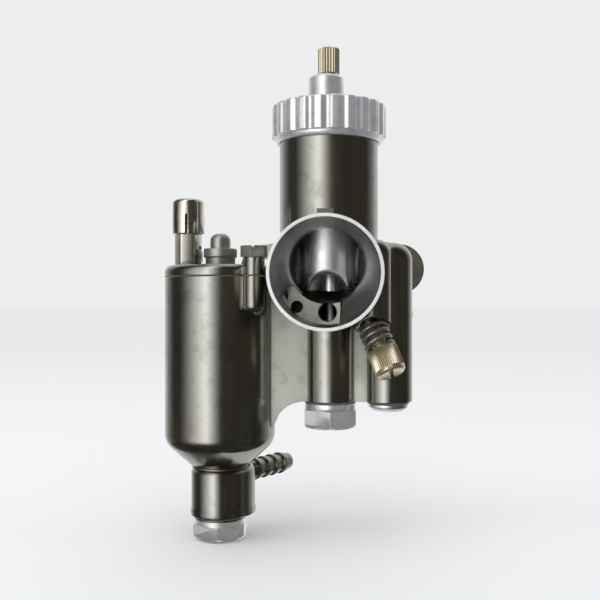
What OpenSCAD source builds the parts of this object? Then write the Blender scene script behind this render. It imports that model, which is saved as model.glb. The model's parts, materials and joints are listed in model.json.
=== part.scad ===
// Motorcycle carburettor with a barrel throttle slide and a float bowl beside the mixing chamber.
// The origin is the middle of the outlet bore on the flange face. +Y points into the engine,
// -Y out of the intake bell, and +Z up along the mixing chamber. All sizes are in millimetres.

/* [Passage] */
// Width of the intake passage in front of the slide
intake_d = 24; // [22:0.5:26]
// Width of the outlet bore behind the slide
outlet_d = 19; // [14:0.5:19.4]
// Distance from the flange face to the mixing chamber axis
flange_to_axis = 35; // [32:1:44]
// Depth of the outlet bore, down to the narrower passage
outlet_depth = 20; // [12:0.5:21]
// Depth of the flat passage floor below the throat axis
floor_drop = 8.5; // [8:0.5:9.5]

/* [Bell] */
// Outside width of the intake bell
bell_d = 35.7; // [34:0.1:39]
// Wall of the bell at its mouth
bell_lip = 1; // [0.8:0.1:1.6]
// Distance from the chamber axis to the mouth
bell_reach = 31.3; // [29:0.1:38]
// Drop of the mouth's centre below the throat axis
bell_drop = 3; // [2:0.5:4]
// Length of the straight band that a filter sleeve grips
bell_band = 10; // [8:0.5:12]

/* [Mixing chamber] */
// Outside width of the chamber tube
chamber_d = 33.2; // [32:0.2:38]
// Height of the tube's top above the throat axis
chamber_top = 49; // [46:1:60]
// Width of the throttle slide
slide_d = 20.4; // [20:0.2:22]
// Height of the throttle slide
slide_h = 36.2; // [33:0.2:38]
// Travel of the slide from idle to full throttle
slide_travel = 18; // [14:0.5:19]
// Running clearance on the radius of every sliding fit
running_fit = 0.05; // [0.02:0.01:0.1]

/* [Ring nut and cap] */
// Outside width of the ring nut
ring_d = 38.4; // [36:0.2:44]
// Height of the ring nut's fluted band
ring_h = 11; // [9:0.2:13]
// Number of flutes around the ring nut
flutes = 22; // [16:1:28]
// Width of the turret on the cap
turret_d = 12; // [10.5:0.5:16]
// Height of the turret above the ring nut
turret_h = 10.2; // [8:0.2:14]
// Width of the cable adjuster's knurled head
adjuster_head_d = 7.4; // [7:0.1:9]
// Height of the cable adjuster's knurled head
adjuster_head_h = 8.5; // [6:0.1:12]
// Thread of the cable adjuster
adjuster_thread_d = 5; // [4.8:0.1:6]

/* [Flange] */
// Distance between the two stud holes
stud_spacing = 50; // [48:1:58]
// Width of each stud hole
stud_hole_d = 8.2; // [6:0.1:9]
// Radius of each flange ear
ear_r = 9.3; // [8:0.1:11]
// Thickness of the flange
flange_t = 7; // [5:0.5:9]

/* [Float bowl] */
// Distance between the chamber axis and the bowl axis
bowl_offset = 37.1; // [36.5:0.1:42]
// Outside width of the bowl
bowl_d = 37.4; // [35:0.2:38]
// Wall of the bowl
bowl_wall = 2.1; // [1.8:0.1:2.6]
// Height of the seam between bowl and lid
seam_z = -3.4; // [-5:0.1:-3]
// Height where the bowl starts to close in
bowl_shoulder_z = -56.6; // [-62:0.2:-54]
// Thickness of the lid
lid_t = 3.7; // [3:0.1:5]
// Travel of the float
float_travel = 2.5; // [1.5:0.1:2.7]
// Distance between the bowl axis and the tickler
tickler_offset = 11.1; // [10.5:0.1:12]
// Travel of the tickler
tickler_travel = 4; // [2:0.1:4]

/* [Wells] */
// Width of the main jet well
well_d = 17.9; // [17:0.1:20]
// Height of the bottom of both wells
well_bottom_z = -45.3; // [-52:0.1:-44]
// Width of the idle well
idle_d = 16.2; // [15:0.1:18]
// Distance between the chamber axis and the idle well
idle_offset = 20; // [19:0.1:21]
// Width across flats of the jet well plug and the banjo bolt
plug_flats = 17; // [15:0.5:17.5]

/* [Fuel inlet] */
// Width of the banjo union
union_d = 20.2; // [19:0.1:24]
// Height of the banjo union
union_h = 16.3; // [13:0.1:20]
// Reach of the hose nozzle from the bowl axis
nozzle_reach = 35.5; // [28:0.5:37]
// Angle of the hose nozzle, turned from +Y towards +X
nozzle_angle = 35; // [20:1:40]

/* [Adjusting screws] */
// Width of the throttle stop screw's head
stop_head_d = 10; // [8:0.1:11]
// Length of the throttle stop screw's head
stop_head_h = 8.5; // [6:0.1:11]
// Thread of the throttle stop screw
stop_thread_d = 4.8; // [4:0.1:5]
// Thread of the idle air screw
air_thread_d = 3.6; // [3:0.1:4]

/* [Hidden] */
$fn = 96;

cut = 0.5;           // how far a cutting tool runs past a face
seat_gap = 0.02;     // clearance on the radius of pieces that are screwed or pressed together
slide_r = slide_d / 2;
bore_r = slide_r + running_fit;
chamber_r = chamber_d / 2;
bell_r = bell_d / 2;
bowl_r = bowl_d / 2;
cavity_r = bowl_r - bowl_wall;

// Heights in the mixing chamber
chamber_bottom_z = -17;
slide_bottom_z = -floor_drop + 0.3;
slide_wall = 1.8;
crown_z = 2;         // underside of the slide's crown
crown_t = 3;
cap_t = 2.5;
cap_top_z = chamber_top + cap_t;
ring_top_z = cap_top_z + 2.5;
ring_bottom_z = ring_top_z - ring_h;
ring_skirt = 1.7;    // plain collar under the flutes
ring_chamfer = 1.3;
turret_shift = -0.9; // the turret stands a little to one side of the cable's hole
turret_top_z = ring_top_z + turret_h;
adjuster_gap = 0.8;  // thread showing under the knurled head
adjuster_bottom_z = turret_top_z + adjuster_gap;
adjuster_top_z = adjuster_bottom_z + adjuster_head_h;

// Jets
needle_r = 1.2;
needle_tip_r = 0.6;
needle_tip_z = -30;
spray_r = 3.1;
spray_top_z = -2.5;
spray_bottom_z = -34;
spray_bore_r = 1.4;
well_bore_r = 6;
well_top_z = -floor_drop - 3;
main_jet_r = 2.4;
main_jet_bottom_z = -41;
well_x = 0.5;
washer_t = 0.8;
plug_collar_t = 2.1;
plug_hex_t = 6;
plug_stem = 6;

// Air passages in the bell
plateau_y = -16.2;   // depth of the flat face that the air holes open on
air_small = [-9.6, -13.6];
air_small_r = 1.95;
air_large = [0.2, -15.3];
air_large_r = 3.02;

// Throttle stop screw: its tip touches the slide, its axis leans out and forward
stop_tip = [8.6, -5.8, -6.2];
stop_lean = 32.3;    // angle between the axis and straight down
stop_turn = -48.3;   // heading of the axis, from +X
stop_seat = 15.2;    // from the tip to the face that the spring stands on
stop_spring_l = 9.9;
stop_dog_r = 1.3;
stop_dog_l = 3.6;
stop_boss_r = 5.7;
ridge_at = [14.5, -11];
ridge_r = 6.2;
ridge_top_z = 8.3;

// Idle air screw: it leaves the idle well backwards and outwards
air_z = -16.6;
air_turn = 64;       // heading of the axis, from +X
air_seat = 9.2;
air_spring_l = 3.3;
air_head_r = 3.2;
air_head_t = 3;

// Float bowl
lid_top_z = seam_z + lid_t;
gasket_t = 0.4;
bowl_rim_z = seam_z - gasket_t;
neck_r = 10.1;
bowl_close = 10.6;   // height of the rounded and tapered bottom
neck_top_z = bowl_shoulder_z - bowl_close;
neck_bottom_z = neck_top_z - 0.3;
bowl_floor_z = neck_bottom_z + 7;
lug_r = 3.45;
lug_reach = 21;      // from the bowl axis to the lid screws
lug_turn = -49.5;    // heading of the front lid screw, from +X
lug_bottom_z = -13;
lid_boss_z = lid_top_z + 2.1;
lid_screw_r = 1.9;
lid_screw_head_t = 3.6;
spigot_t = 2;

// Float, its needle and the tickler
float_r = 14.2;
float_top_z = seam_z - 18.1;
float_h = 28.5;
float_shell = 0.6;
valve_r = 0.9;
valve_top_z = lid_top_z + 6.3;
seat_r = 3.9;
seat_bore_r = 1.45;
seat_bottom_z = neck_bottom_z + 4;
valve_cone_z = seat_bottom_z - 2.1;
valve_cone_h = 1.5;
valve_foot_r = 2.2;
guide_top_z = lid_top_z + 10.95;
post_flats = 8;
post_top_z = lid_top_z + 10.9;
post_neck_z = post_top_z + 1.8;
button_r = 5.4;
button_wall = 0.55;
button_top_z = post_top_z + 11.8;
pin_r = 1;
pin_bottom_z = float_top_z + float_travel + 0.1 + tickler_travel;

// Fuel inlet
union_top_z = neck_bottom_z - washer_t;
union_bottom_z = union_top_z - union_h;
bolt_collar_z = union_bottom_z - washer_t;
bolt_r = 4.9;
nozzle_z = union_top_z - 3.7;
nozzle_r = 3.1;
barb_r = 3.9;
barbs = 4;
union_swell = 3;     // how far the union's body runs towards its nozzle

module at_chamber() { translate([0, -flange_to_axis, 0]) children(); }

module at_bowl() { translate([-bowl_offset, -flange_to_axis, 0]) children(); }

module at_idle() { translate([idle_offset, -flange_to_axis, 0]) children(); }

// Puts +Z of its children along the stop screw's axis, pointing out of the casting, tip at 0
module along_stop() {
    at_chamber() translate(stop_tip) rotate([0, 0, stop_turn]) rotate([0, 180 - stop_lean, 0]) children();
}

// Puts +Z of its children along the air screw's axis, pointing out of the idle well
module along_air() {
    at_idle() translate([0, 0, air_z]) rotate([0, 0, air_turn]) rotate([0, 90, 0]) children();
}

// Puts +Z of its children along the hose nozzle, pointing out of the union
module along_nozzle() {
    at_bowl() translate([0, 0, nozzle_z]) rotate([0, 0, 90 - nozzle_angle]) rotate([0, 90, 0]) children();
}

// A cylinder along Y from y1 to y2
module bar_y(r, y1, y2) {
    translate([0, y1, 0]) rotate([-90, 0, 0]) cylinder(r = r, h = y2 - y1);
}

// A cylinder between two heights
module post(r, z1, z2) { translate([0, 0, z1]) cylinder(r = r, h = z2 - z1); }

module tube(r, bore, z1, z2) {
    difference() {
        post(r, z1, z2);
        post(bore, z1 - cut, z2 + cut);
    }
}

// A hexagonal prism with its corners knocked off at the lower end
module hex_head(flats, z1, z2) {
    height = z2 - z1;
    intersection() {
        translate([0, 0, z1]) cylinder(r = flats / 2 / cos(30), h = height, $fn = 6);
        translate([0, 0, z1]) cylinder(r1 = flats / 2, r2 = flats / 2 + height, h = height);
    }
}

// Straight grooves around a head, for a knurl
module knurl_grooves(r, count, depth, z1, z2) {
    for (i = [0:count - 1])
        rotate([0, 0, i * 360 / count]) translate([r, 0, z1])
            rotate([0, 0, 45]) cube([depth * 1.4, depth * 1.4, 2 * (z2 - z1)], center = true);
}

function coil_point(r, pitch, wire, a, b) =
    [(r + wire * cos(b)) * cos(a), (r + wire * cos(b)) * sin(a), pitch * a / 360 + wire * sin(b)];

// A coil spring of round wire standing on z = 0
module coil(r, wire, height, turns, steps = 16, sides = 6) {
    rings = round(turns * steps);
    pitch = (height - 2 * wire) / turns;
    points = [for (i = [0:rings], j = [0:sides - 1])
        coil_point(r, pitch, wire, i * 360 / steps, j * 360 / sides) + [0, 0, wire]];
    walls = [for (i = [0:rings - 1], j = [0:sides - 1])
        let (k = (j + 1) % sides, low = i * sides, high = low + sides)
        [low + j, low + k, high + k, high + j]];
    start = [for (j = [sides - 1:-1:0]) j];
    end = [for (j = [0:sides - 1]) rings * sides + j];
    polyhedron(points = points, faces = concat(walls, [start, end]), convexity = 4);
}

// ---------------------------------------------------------------- body casting

module flange_plate() {
    hub_r = 13;
    lean = asin((hub_r - ear_r) / (stud_spacing / 2));
    half = stud_spacing / 2;
    inner = [hub_r * sin(lean), hub_r * cos(lean)];
    outer = [half + ear_r * sin(lean), ear_r * cos(lean)];
    outline = [
        [-outer[0], -outer[1]], [-inner[0], -inner[1]], [inner[0], -inner[1]], [outer[0], -outer[1]],
        outer, inner, [-inner[0], inner[1]], [-outer[0], outer[1]]
    ];
    translate([0, -flange_t, 0]) rotate([-90, 0, 0]) {
        linear_extrude(flange_t) polygon(outline);
        cylinder(r = hub_r, h = flange_t);
        for (side = [-1, 1]) translate([side * half, 0, 0]) cylinder(r = ear_r, h = flange_t);
    }
}

module bell_outside() {
    waist_r = bell_r - 2.2;
    translate([0, 0, -bell_drop]) {
        bar_y(bell_r, -bell_reach, -bell_reach + bell_band);
        translate([0, -bell_reach + bell_band, 0]) rotate([-90, 0, 0])
            cylinder(r1 = bell_r, r2 = waist_r, h = bell_reach - bell_band - 8);
    }
}

// One skew ring of the funnel, between two round sections given as [y, radius, centre height]
module funnel_ring(a, b) {
    hull() for (s = [a, b])
        translate([0, s[0], s[2]]) rotate([-90, 0, 0]) cylinder(r = s[1], h = 0.01, $fn = 96);
}

module funnel() {
    mouth_r = bell_r - bell_lip;
    throat_r = intake_d / 2;
    depth = bell_reach - 15;
    flare = mouth_r - throat_r;
    sections = [
        [-bell_reach - cut, mouth_r, -bell_drop],
        [-bell_reach + depth * 0.30, mouth_r - flare * 0.12, -bell_drop * 0.95],
        [-bell_reach + depth * 0.58, mouth_r - flare * 0.42, -bell_drop * 0.7],
        [-bell_reach + depth * 0.80, mouth_r - flare * 0.78, -bell_drop * 0.3],
        [-bell_reach + depth, throat_r, 0]
    ];
    for (i = [0:3]) funnel_ring(sections[i], sections[i + 1]);
}

// The pocket with a flat floor that the two air holes open on
module air_pocket() {
    outline = [[4.3, -30], [4.3, -6.5], [-11.8, -6.9], [-15.2, -11.4], [-18, -30]];
    slot = [[-12.2, -8.2], [-12.9, -13.2], [-20, -13.2], [-20, -8.2]];
    intersection() {
        translate([0, plateau_y + 3, 0]) rotate([90, 0, 0]) linear_extrude(6) polygon(slot);
        translate([0, 0, -bell_drop]) bar_y(bell_r - bell_lip - 1.6, -2 * bell_reach, 0);
    }
    intersection() {
        translate([0, plateau_y, 0]) rotate([90, 0, 0]) linear_extrude(bell_reach)
            polygon(outline);
        translate([0, 0, -bell_drop]) bar_y(bell_r - bell_lip - 0.7, -2 * bell_reach, 0);
    }
}

// Fills the bottom of the intake passage up to the flat floor, with a ramp in front
module passage_floor() {
    ramp = [[-15.8, -20], [-15.8, -intake_d / 2 - 0.05], [-11, -floor_drop], [cut, -floor_drop], [cut, -20]];
    rotate([0, 0, 90]) rotate([90, 0, 0]) linear_extrude(intake_d + 2, center = true) polygon(ramp);
}

module intake_cut() {
    funnel();
    air_pocket();
    difference() {
        bar_y(intake_d / 2, -20, -2);
        passage_floor();
    }
    translate([air_small[0], 0, air_small[1]]) bar_y(air_small_r, plateau_y - cut, -7);
    translate([air_large[0], 0, air_large[1]]) bar_y(air_large_r, plateau_y - cut, -2);
}

module bowl_outside() {
    shoulder_r = 6;
    cone_start_z = bowl_shoulder_z - shoulder_r * 0.72;
    cone_start_r = bowl_r - shoulder_r * (1 - cos(46));
    round_off = [for (a = [0:8:46]) [bowl_r - shoulder_r * (1 - cos(a)), bowl_shoulder_z - shoulder_r * sin(a)]];
    rotate_extrude() polygon(concat(
        [[0, bowl_rim_z], [bowl_r, bowl_rim_z]], round_off,
        [[cone_start_r, cone_start_z], [neck_r, neck_top_z], [neck_r - 0.5, neck_bottom_z], [0, neck_bottom_z]]
    ));
}

module bowl_inside() {
    flat_r = 7;
    rotate_extrude() polygon([
        [0, bowl_rim_z + cut], [cavity_r, bowl_rim_z + cut], [cavity_r, bowl_shoulder_z + 1],
        [cavity_r - 2.4, bowl_shoulder_z - 2.6], [flat_r, bowl_floor_z], [0, bowl_floor_z]
    ]);
}

// Ribs, wells and bosses that hang below the bell
module lower_works() {
    web_t = 10;
    web_left = -bowl_offset + neck_r - 4;
    heel = [-well_d / 2 - 2.7, well_bottom_z - 0.6];
    foot = [-bowl_offset + bowl_r - 0.1, bowl_shoulder_z + 2.6];
    bend = [foot[0] + 1.6, heel[1] - 2.1];
    sweep = [for (t = [0:0.2:1]) heel * (1 - t) * (1 - t) + bend * 2 * t * (1 - t) + foot * t * t];
    web = concat(
        [[web_left, -8], [2, -8], [2, well_bottom_z], [-well_d / 2, well_bottom_z]],
        sweep, [[web_left, foot[1]]]
    );
    translate([0, web_t / 2, 0]) rotate([90, 0, 0]) linear_extrude(web_t) polygon(web);
    translate([well_x, 0, 0]) post(well_d / 2, well_bottom_z, -10);
    translate([5, -4, well_bottom_z]) cube([idle_offset - 5, 8, -well_bottom_z - 6]);
}

module rounded_post(r, z1, z2, round_r) {
    corner = [for (a = [0:10:90]) [r - round_r + round_r * cos(a), z2 - round_r + round_r * sin(a)]];
    rotate_extrude() polygon(concat([[0, z1], [r, z1]], corner, [[0, z2]]));
}

module lid_screw_places() {
    for (turn = [lug_turn, lug_turn + 180])
        rotate([0, 0, turn]) translate([lug_reach, 0, 0]) children();
}

module lug(z1, z2) {
    post(lug_r, z1, z2);
    translate([-lug_r - 1, -lug_r + 0.6, z1]) cube([lug_r + 1, 2 * lug_r - 1.2, z2 - z1]);
}

module casting_solid() {
    at_chamber() {
        post(chamber_r, chamber_bottom_z + 3, chamber_top);
        translate([0, 0, chamber_bottom_z]) cylinder(r1 = chamber_r - 3, r2 = chamber_r, h = 3);
        bell_outside();
        bar_y(12.6, 6, flange_to_axis - 1);
        lower_works();
        translate([ridge_at[0], ridge_at[1], 0]) rounded_post(ridge_r, -19, ridge_top_z, 5);
        translate([-0.4 - 2.7, -chamber_r - 0.8, 12]) cube([5.4, 4, 5.8]);
        translate([4, -7, -14]) cube([14, 9, 20]);
    }
    flange_plate();
    at_idle() rounded_post(idle_d / 2, well_bottom_z, 7.8, 6);
    along_stop() post(stop_boss_r, 5, stop_seat);
    along_air() post(4.6, 3, air_seat);
    at_bowl() {
        bowl_outside();
        lid_screw_places() {
            lug(lug_bottom_z, bowl_rim_z);
            translate([0, 0, lug_bottom_z]) sphere(r = lug_r);
        }
    }
}

// Room for the flange's studs and their nuts
module stud_ways(past) {
    for (side = [-1, 1]) translate([side * stud_spacing / 2, 0, 0]) bar_y(stud_hole_d / 2, -20, past);
}

module casting_cuts() {
    at_chamber() {
        post(bore_r, -floor_drop, chamber_top + cut);
        intake_cut();
        bar_y(floor_drop - 0.4, 0, flange_to_axis);
        bar_y(outlet_d / 2, flange_to_axis - outlet_depth, flange_to_axis + cut);
        translate([well_x, 0, 0]) {
            post(spray_r + seat_gap, well_top_z - cut, 0);
            post(well_bore_r, well_bottom_z - cut, well_top_z);
        }
        translate([-bowl_offset, 0, -41]) rotate([0, 90, 0]) cylinder(r = 2.4, h = bowl_offset);
        translate([0, 0, 20]) bar_y(1.5 + seat_gap, 0, chamber_r + cut);
    }
    stud_ways(cut);
    at_idle() {
        post(4.4, well_bottom_z - cut, -24);
        post(2.2 + seat_gap, -24 - cut, -12);
    }
    along_stop() {
        post(stop_head_d / 2 + 0.8, stop_seat, stop_seat + 12);
        post(stop_thread_d / 2 + running_fit, stop_dog_l, stop_seat + cut);
        post(stop_dog_r + 0.15, -1, stop_dog_l + cut);
    }
    along_air() {
        post(air_thread_d / 2 + running_fit, 1, air_seat + cut);
    }
    at_bowl() {
        bowl_inside();
        post(seat_r + seat_gap, seat_bottom_z - cut, bowl_floor_z + cut);
        post(bolt_r + seat_gap, neck_bottom_z - cut, seat_bottom_z);
        lid_screw_places() post(lid_screw_r + seat_gap, lug_bottom_z, bowl_rim_z + cut);
    }
}

module body_casting() {
    color([0.32, 0.32, 0.31]) difference() {
        casting_solid();
        casting_cuts();
    }
}

// ---------------------------------------------------------------- cap, ring nut and cable adjuster

module chamber_cap() {
    spigot_r = bore_r - 0.3;
    color([0.78, 0.79, 0.8]) at_chamber() difference() {
        union() {
            post(chamber_r - 0.6, chamber_top, cap_top_z);
            post(spigot_r, chamber_top - 2, chamber_top);
            translate([turret_shift, 0, 0]) {
                post(turret_d / 2, cap_top_z, turret_top_z - 1);
                translate([0, 0, turret_top_z - 1]) cylinder(r1 = turret_d / 2, r2 = turret_d / 2 - 1, h = 1);
            }
        }
        post(adjuster_thread_d / 2 + running_fit, chamber_top - 2 - cut, turret_top_z + cut);
        post(spigot_r - 2, chamber_top - 2 - cut, chamber_top);
        translate([turret_d / 2 + turret_shift - 1.4, 0, turret_top_z - 3.6]) rotate([0, 90, 0]) cylinder(r = 0.6, h = 3, $fn = 24);
    }
}

module cap_ring_nut() {
    flute_r = 1.9;
    flute_out = ring_d / 2 + flute_r - 0.75;
    color([0.82, 0.83, 0.84]) at_chamber() difference() {
        union() {
            post(ring_d / 2, ring_bottom_z, ring_top_z - ring_chamfer);
            translate([0, 0, ring_top_z - ring_chamfer])
                cylinder(r1 = ring_d / 2, r2 = ring_d / 2 - ring_chamfer, h = ring_chamfer);
            translate([0, 0, ring_bottom_z - ring_skirt])
                cylinder(r1 = ring_d / 2 - 1.5, r2 = ring_d / 2 - 0.8, h = ring_skirt);
        }
        post(chamber_r + seat_gap, ring_bottom_z - ring_skirt - cut, cap_top_z);
        post(chamber_r - 3.5, cap_top_z - cut, ring_top_z + cut);
        for (i = [0:flutes - 1])
            rotate([0, 0, (i + 0.5) * 360 / flutes]) translate([flute_out, 0, 0])
                post(flute_r, ring_bottom_z - ring_skirt - cut, ring_top_z + cut);
    }
}

module cable_adjuster() {
    head_r = adjuster_head_d / 2;
    color([0.78, 0.72, 0.56]) at_chamber() difference() {
        union() {
            post(adjuster_thread_d / 2, cap_top_z - 1, adjuster_bottom_z);
            post(head_r, adjuster_bottom_z, adjuster_top_z - 0.6);
            translate([0, 0, adjuster_top_z - 0.6]) cylinder(r1 = head_r, r2 = head_r - 0.6, h = 0.6);
        }
        post(1.2, cap_top_z - 1 - cut, adjuster_top_z + cut);
        post(2.5, adjuster_top_z - 6, adjuster_top_z + cut);
        knurl_grooves(head_r, 20, 0.3, adjuster_bottom_z, adjuster_top_z);
    }
}

// ---------------------------------------------------------------- throttle slide and jets

module slide_guide_pin() {
    color([0.7, 0.7, 0.68]) at_chamber() translate([0, 0, 20]) bar_y(1.5, slide_r - 1.3, chamber_r);
}

module throttle_slide() {
    arch_r = 6.4;
    arch_z = -9.2;
    skirt_rise = 1.8;
    top_z = slide_bottom_z + slide_h;
    notch_roof_z = stop_tip[2] + stop_dog_r * sin(stop_lean) + 0.1;
    color([0.72, 0.72, 0.71]) at_chamber() difference() {
        post(slide_r, slide_bottom_z, top_z);
        post(slide_r - slide_wall, slide_bottom_z - cut, crown_z);
        post(slide_r - slide_wall, crown_z + crown_t, top_z + cut);
        post(needle_r + running_fit, crown_z - cut, crown_z + crown_t + cut);
        translate([0, 0, arch_z]) bar_y(arch_r, -slide_r - cut, 0);
        rotate([0, 0, 90]) rotate([90, 0, 0]) linear_extrude(slide_d + 1, center = true) polygon([
            [0, slide_bottom_z], [-slide_r - cut, slide_bottom_z + skirt_rise],
            [-slide_r - cut, slide_bottom_z - cut], [0, slide_bottom_z - cut]
        ]);
        translate([stop_tip[0], stop_tip[1], 0]) post(1.95, slide_bottom_z - cut, notch_roof_z);
        translate([-1.65, slide_r - 1.4, slide_bottom_z - cut]) cube([3.3, 3, slide_h + 2 * cut]);
    }
}

module slide_spring() {
    low_z = crown_z + crown_t + 0.1;
    color([0.6, 0.6, 0.58]) at_chamber() translate([0, 0, low_z])
        coil(6.4, 0.55, chamber_top - low_z - 0.1, 9, 14);
}

module jet_needle() {
    taper_z = -9;
    head_z = crown_z + crown_t + 3.5;
    color([0.8, 0.8, 0.79]) at_chamber() {
        post(needle_r, taper_z, head_z);
        translate([0, 0, needle_tip_z]) cylinder(r1 = needle_tip_r, r2 = needle_r, h = taper_z - needle_tip_z);
    }
}

module needle_clip() {
    low_z = crown_z + crown_t + 0.05;
    color([0.6, 0.6, 0.58]) at_chamber() difference() {
        post(3.4, low_z, low_z + 0.6);
        post(needle_r + seat_gap, low_z - cut, low_z + 1);
        translate([0, -0.8, low_z - cut]) cube([5, 1.6, 2]);
    }
}

module needle_jet() {
    color([0.82, 0.72, 0.46]) at_chamber() translate([well_x, 0, 0]) difference() {
        union() {
            post(spray_r, spray_bottom_z, spray_top_z);
            post(4.4, spray_bottom_z, spray_bottom_z + 4);
        }
        translate([-well_x, 0, 0]) post(spray_bore_r, spray_bottom_z + 4, spray_top_z + cut);
        post(main_jet_r + seat_gap, spray_bottom_z - cut, spray_bottom_z + 4);
    }
}

module main_jet() {
    color([0.82, 0.72, 0.46]) at_chamber() translate([well_x, 0, 0]) difference() {
        union() {
            post(main_jet_r, spray_bottom_z, spray_bottom_z + 3.8);
            post(3.4, main_jet_bottom_z, spray_bottom_z);
        }
        post(0.6, main_jet_bottom_z - cut, spray_bottom_z + 4);
        translate([-4, -0.5, main_jet_bottom_z - cut]) cube([8, 1, 1.5]);
    }
}

module jet_well_plug() {
    collar_z = well_bottom_z - washer_t;
    hex_z = collar_z - plug_collar_t;
    color([0.76, 0.78, 0.82]) at_chamber() translate([well_x, 0, 0]) rotate([0, 0, 32]) difference() {
        union() {
            post(8.5, hex_z, collar_z);
            hex_head(plug_flats, hex_z - plug_hex_t, hex_z);
            post(well_bore_r - seat_gap, hex_z - 1, well_bottom_z + plug_stem);
        }
        post(4.2, collar_z - 1, well_bottom_z + plug_stem + cut);
    }
}

module jet_well_washer() {
    color([0.45, 0.3, 0.2]) at_chamber() translate([well_x, 0, 0])
        tube(8.6, well_bore_r + 0.2, well_bottom_z - washer_t, well_bottom_z);
}

module idle_jet() {
    color([0.82, 0.72, 0.46]) at_idle() difference() {
        union() {
            post(2.2, -24, -20);
            post(3.2, -29, -24);
        }
        post(0.45, -29 - cut, -20 + cut);
        translate([-4, -0.4, -29 - cut]) cube([8, 0.8, 1.5]);
    }
}

module idle_well_plug() {
    head_z = well_bottom_z - washer_t;
    color([0.72, 0.72, 0.7]) at_idle() difference() {
        union() {
            post(4.4 - seat_gap, head_z, well_bottom_z + plug_stem);
            post(6.6, head_z - 1.2, head_z);
            translate([0, 0, head_z - 2.4]) cylinder(r1 = 5, r2 = 6.6, h = 1.2);
        }
        translate([-8, -0.7, head_z - 2.4 - cut]) cube([16, 1.4, 1.2 + cut]);
    }
}

module idle_well_washer() {
    color([0.8, 0.68, 0.4]) at_idle() tube(7.1, 4.6, well_bottom_z - washer_t, well_bottom_z);
}

// ---------------------------------------------------------------- adjusting screws

module throttle_stop_screw() {
    head_start = stop_seat + stop_spring_l;
    head_end = head_start + stop_head_h;
    head_r = stop_head_d / 2;
    color([0.8, 0.74, 0.58]) along_stop() difference() {
        union() {
            post(stop_dog_r, 0, stop_dog_l + 0.4);
            post(stop_thread_d / 2, stop_dog_l + 0.4, head_start);
            post(head_r, head_start, head_end - 0.8);
            translate([0, 0, head_end - 0.8]) cylinder(r1 = head_r, r2 = head_r - 0.8, h = 0.8);
        }
        knurl_grooves(head_r, 36, 0.26, head_start, head_end);
        rotate([0, 0, 44]) translate([-6, -0.6, head_end - 1.6]) cube([12, 1.2, 3]);
    }
}

module stop_screw_spring() {
    color([0.55, 0.53, 0.5]) along_stop() translate([0, 0, stop_seat + 0.05])
        coil(stop_head_d / 2 - 0.9, 0.8, stop_spring_l - 0.1, 3.5, 24, 8);
}

module air_screw() {
    head_start = air_seat + air_spring_l;
    color([0.8, 0.74, 0.58]) along_air() difference() {
        union() {
            translate([0, 0, 1.5]) cylinder(r1 = 0.5, r2 = air_thread_d / 2, h = 3);
            post(air_thread_d / 2, 4.5, head_start);
            post(air_head_r, head_start, head_start + air_head_t);
        }
        knurl_grooves(air_head_r, 18, 0.25, head_start, head_start + air_head_t);
        translate([-5, -0.4, head_start + air_head_t - 1]) cube([10, 0.8, 2]);
    }
}

module air_screw_spring() {
    color([0.55, 0.53, 0.5]) along_air() translate([0, 0, air_seat + 0.05])
        coil(air_thread_d / 2 + 0.75, 0.35, air_spring_l - 0.1, 3, 14);
}

// ---------------------------------------------------------------- lid and tickler

module bowl_lid() {
    edge = 2.4;
    color([0.3, 0.31, 0.3]) difference() {
        at_bowl() union() {
            rounded_post(bowl_r + 0.1, seam_z, lid_top_z, edge);
            post(cavity_r - 0.15, seam_z - spigot_t, seam_z);
            lid_screw_places() {
                lug(seam_z, lid_top_z - 1);
                post(lug_r, seam_z, lid_boss_z);
            }
        }
        at_bowl() {
            post(cavity_r - 2, seam_z - spigot_t - cut, seam_z - 0.4);
            post(3.2 + seat_gap, seam_z - spigot_t - cut, lid_top_z + cut);
            translate([-tickler_offset, 0, 0]) post(2.6 + seat_gap, seam_z - spigot_t - cut, lid_top_z + cut);
            lid_screw_places() post(lid_screw_r + 0.3, seam_z - cut, lid_boss_z + cut);
        }
        stud_ways(0);
    }
}

module lid_gasket() {
    color([0.5, 0.42, 0.3]) difference() {
        at_bowl() union() {
            post(bowl_r - 0.1, bowl_rim_z, seam_z);
            lid_screw_places() lug(bowl_rim_z, seam_z);
        }
        at_bowl() {
            post(cavity_r, bowl_rim_z - cut, seam_z + cut);
            lid_screw_places() post(lid_screw_r + 0.3, bowl_rim_z - cut, seam_z + cut);
        }
        stud_ways(0);
    }
}

module lid_screws() {
    flats = 7.8;
    corner_r = flats / 2 / cos(30);
    head_top_z = lid_boss_z + lid_screw_head_t;
    color([0.5, 0.5, 0.45]) at_bowl() lid_screw_places() rotate([0, 0, -lug_turn]) difference() {
        union() {
            post(lid_screw_r, lug_bottom_z + 1, lid_boss_z);
            translate([0, 0, lid_boss_z]) rotate([0, 0, 24]) cylinder(r = corner_r, h = lid_screw_head_t, $fn = 6);
        }
        translate([-0.55, -6, head_top_z - 1.3]) cube([1.1, 12, 2]);
    }
}

module needle_guide_cap() {
    dome_r = 3.45;
    color([0.48, 0.48, 0.45]) at_bowl() difference() {
        union() {
            post(3.2, seam_z + 0.4, lid_top_z);
            post(5.05, lid_top_z, lid_top_z + 2.75);
            post(5.65, lid_top_z + 2.75, lid_top_z + 5.75);
            rounded_post(dome_r, lid_top_z + 5, guide_top_z, 2.6);
        }
        post(valve_r + running_fit, seam_z, valve_top_z + float_travel + 0.4);
    }
}

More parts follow.
